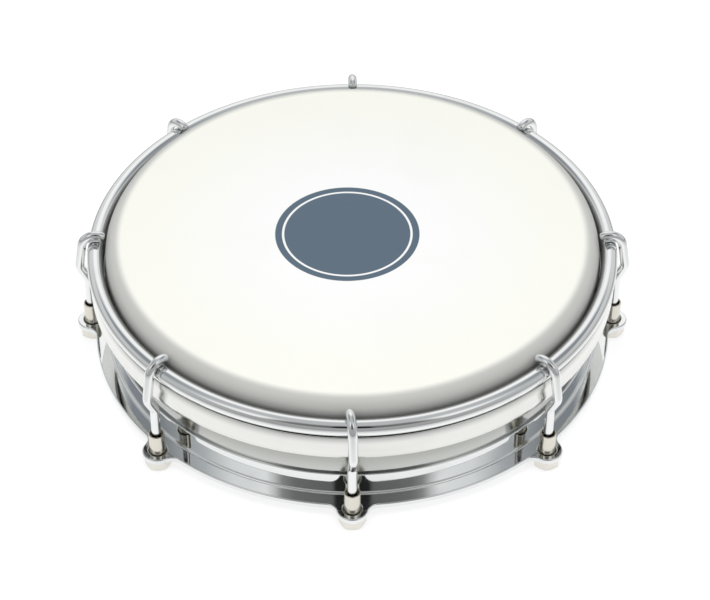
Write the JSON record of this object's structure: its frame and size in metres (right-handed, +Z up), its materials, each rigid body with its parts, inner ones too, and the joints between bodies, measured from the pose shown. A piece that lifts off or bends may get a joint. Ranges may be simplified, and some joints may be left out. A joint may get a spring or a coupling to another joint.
{
  "type": "tamborim",
  "caption": "Small hand drum: a steel shell with a white plastic head, pulled tight over its rim by a round hoop, bent wire hooks and tension nuts on an eared ring.",
  "frame": {"origin": "centre of the drum on the plane that the nut heads stand on", "axes": "+Z up along the drum axis to the playing surface, -Y to the front tension point"},
  "size_m": [0.1746, 0.1746, 0.0415],
  "materials": {
    "shell_chrome": "mirror chrome plate on sheet steel",
    "white_film": "semi-gloss white plastic film",
    "flesh_hoop_aluminium": "bright rolled strip",
    "hoop_chrome": "mirror chrome plate on round rod",
    "ring_chrome": "mirror chrome plate on pressed steel",
    "hook_chrome": "bright plated bent wire",
    "nut_nickel": "turned and nickel plated, slightly warm"
  },
  "bodies": {
    "drum": {"shell": "shell_chrome", "drumhead_film": "white_film", "flesh_hoop": "flesh_hoop_aluminium", "counter_hoop": "hoop_chrome", "tension_ring": "ring_chrome"},
    "tension_hook_1": {"tension_hook_1": "hook_chrome"},
    "tension_hook_2": {"tension_hook_2": "hook_chrome"},
    "tension_hook_3": {"tension_hook_3": "hook_chrome"},
    "tension_hook_4": {"tension_hook_4": "hook_chrome"},
    "tension_hook_5": {"tension_hook_5": "hook_chrome"},
    "tension_hook_6": {"tension_hook_6": "hook_chrome"},
    "tension_hook_7": {"tension_hook_7": "hook_chrome"},
    "tension_hook_8": {"tension_hook_8": "hook_chrome"},
    "tension_nut_1": {"tension_nut_1": "nut_nickel"},
    "tension_nut_2": {"tension_nut_2": "nut_nickel"},
    "tension_nut_3": {"tension_nut_3": "nut_nickel"},
    "tension_nut_4": {"tension_nut_4": "nut_nickel"},
    "tension_nut_5": {"tension_nut_5": "nut_nickel"},
    "tension_nut_6": {"tension_nut_6": "nut_nickel"},
    "tension_nut_7": {"tension_nut_7": "nut_nickel"},
    "tension_nut_8": {"tension_nut_8": "nut_nickel"}
  },
  "joints": [
    {"name": "nut_1_turn", "type": "hinge", "parent": "drum", "child": "tension_nut_1", "pos_m": [0, -0.0825, 0], "axis": [0, 0, -1], "range_deg": [0, 1440]},
    {"name": "hook_1_lift", "type": "slide", "parent": "drum", "child": "tension_hook_1", "axis": [0, 0, 1], "range_m": [0, 0.002]},
    {"name": "nut_2_turn", "type": "hinge", "parent": "drum", "child": "tension_nut_2", "pos_m": [0.05834, -0.05834, 0], "axis": [0, 0, -1], "range_deg": [0, 1440]},
    {"name": "hook_2_lift", "type": "slide", "parent": "drum", "child": "tension_hook_2", "axis": [0, 0, 1], "range_m": [0, 0.002]},
    {"name": "nut_3_turn", "type": "hinge", "parent": "drum", "child": "tension_nut_3", "pos_m": [0.0825, 0, 0], "axis": [0, 0, -1], "range_deg": [0, 1440]},
    {"name": "hook_3_lift", "type": "slide", "parent": "drum", "child": "tension_hook_3", "axis": [0, 0, 1], "range_m": [0, 0.002]},
    {"name": "nut_4_turn", "type": "hinge", "parent": "drum", "child": "tension_nut_4", "pos_m": [0.05834, 0.05834, 0], "axis": [0, 0, -1], "range_deg": [0, 1440]},
    {"name": "hook_4_lift", "type": "slide", "parent": "drum", "child": "tension_hook_4", "axis": [0, 0, 1], "range_m": [0, 0.002]},
    {"name": "nut_5_turn", "type": "hinge", "parent": "drum", "child": "tension_nut_5", "pos_m": [0, 0.0825, 0], "axis": [0, 0, -1], "range_deg": [0, 1440]},
    {"name": "hook_5_lift", "type": "slide", "parent": "drum", "child": "tension_hook_5", "axis": [0, 0, 1], "range_m": [0, 0.002]},
    {"name": "nut_6_turn", "type": "hinge", "parent": "drum", "child": "tension_nut_6", "pos_m": [-0.05834, 0.05834, 0], "axis": [0, 0, -1], "range_deg": [0, 1440]},
    {"name": "hook_6_lift", "type": "slide", "parent": "drum", "child": "tension_hook_6", "axis": [0, 0, 1], "range_m": [0, 0.002]},
    {"name": "nut_7_turn", "type": "hinge", "parent": "drum", "child": "tension_nut_7", "pos_m": [-0.0825, 0, 0], "axis": [0, 0, -1], "range_deg": [0, 1440]},
    {"name": "hook_7_lift", "type": "slide", "parent": "drum", "child": "tension_hook_7", "axis": [0, 0, 1], "range_m": [0, 0.002]},
    {"name": "nut_8_turn", "type": "hinge", "parent": "drum", "child": "tension_nut_8", "pos_m": [-0.05834, -0.05834, 0], "axis": [0, 0, -1], "range_deg": [0, 1440]},
    {"name": "hook_8_lift", "type": "slide", "parent": "drum", "child": "tension_hook_8", "axis": [0, 0, 1], "range_m": [0, 0.002]}
  ],
  "couplings": [
    {"joint": "nut_1_turn", "follows": "hook_1_lift", "rad_per_m": 12566},
    {"joint": "nut_2_turn", "follows": "hook_2_lift", "rad_per_m": 12566},
    {"joint": "nut_3_turn", "follows": "hook_3_lift", "rad_per_m": 12566},
    {"joint": "nut_4_turn", "follows": "hook_4_lift", "rad_per_m": 12566},
    {"joint": "nut_5_turn", "follows": "hook_5_lift", "rad_per_m": 12566},
    {"joint": "nut_6_turn", "follows": "hook_6_lift", "rad_per_m": 12566},
    {"joint": "nut_7_turn", "follows": "hook_7_lift", "rad_per_m": 12566},
    {"joint": "nut_8_turn", "follows": "hook_8_lift", "rad_per_m": 12566}
  ]
}
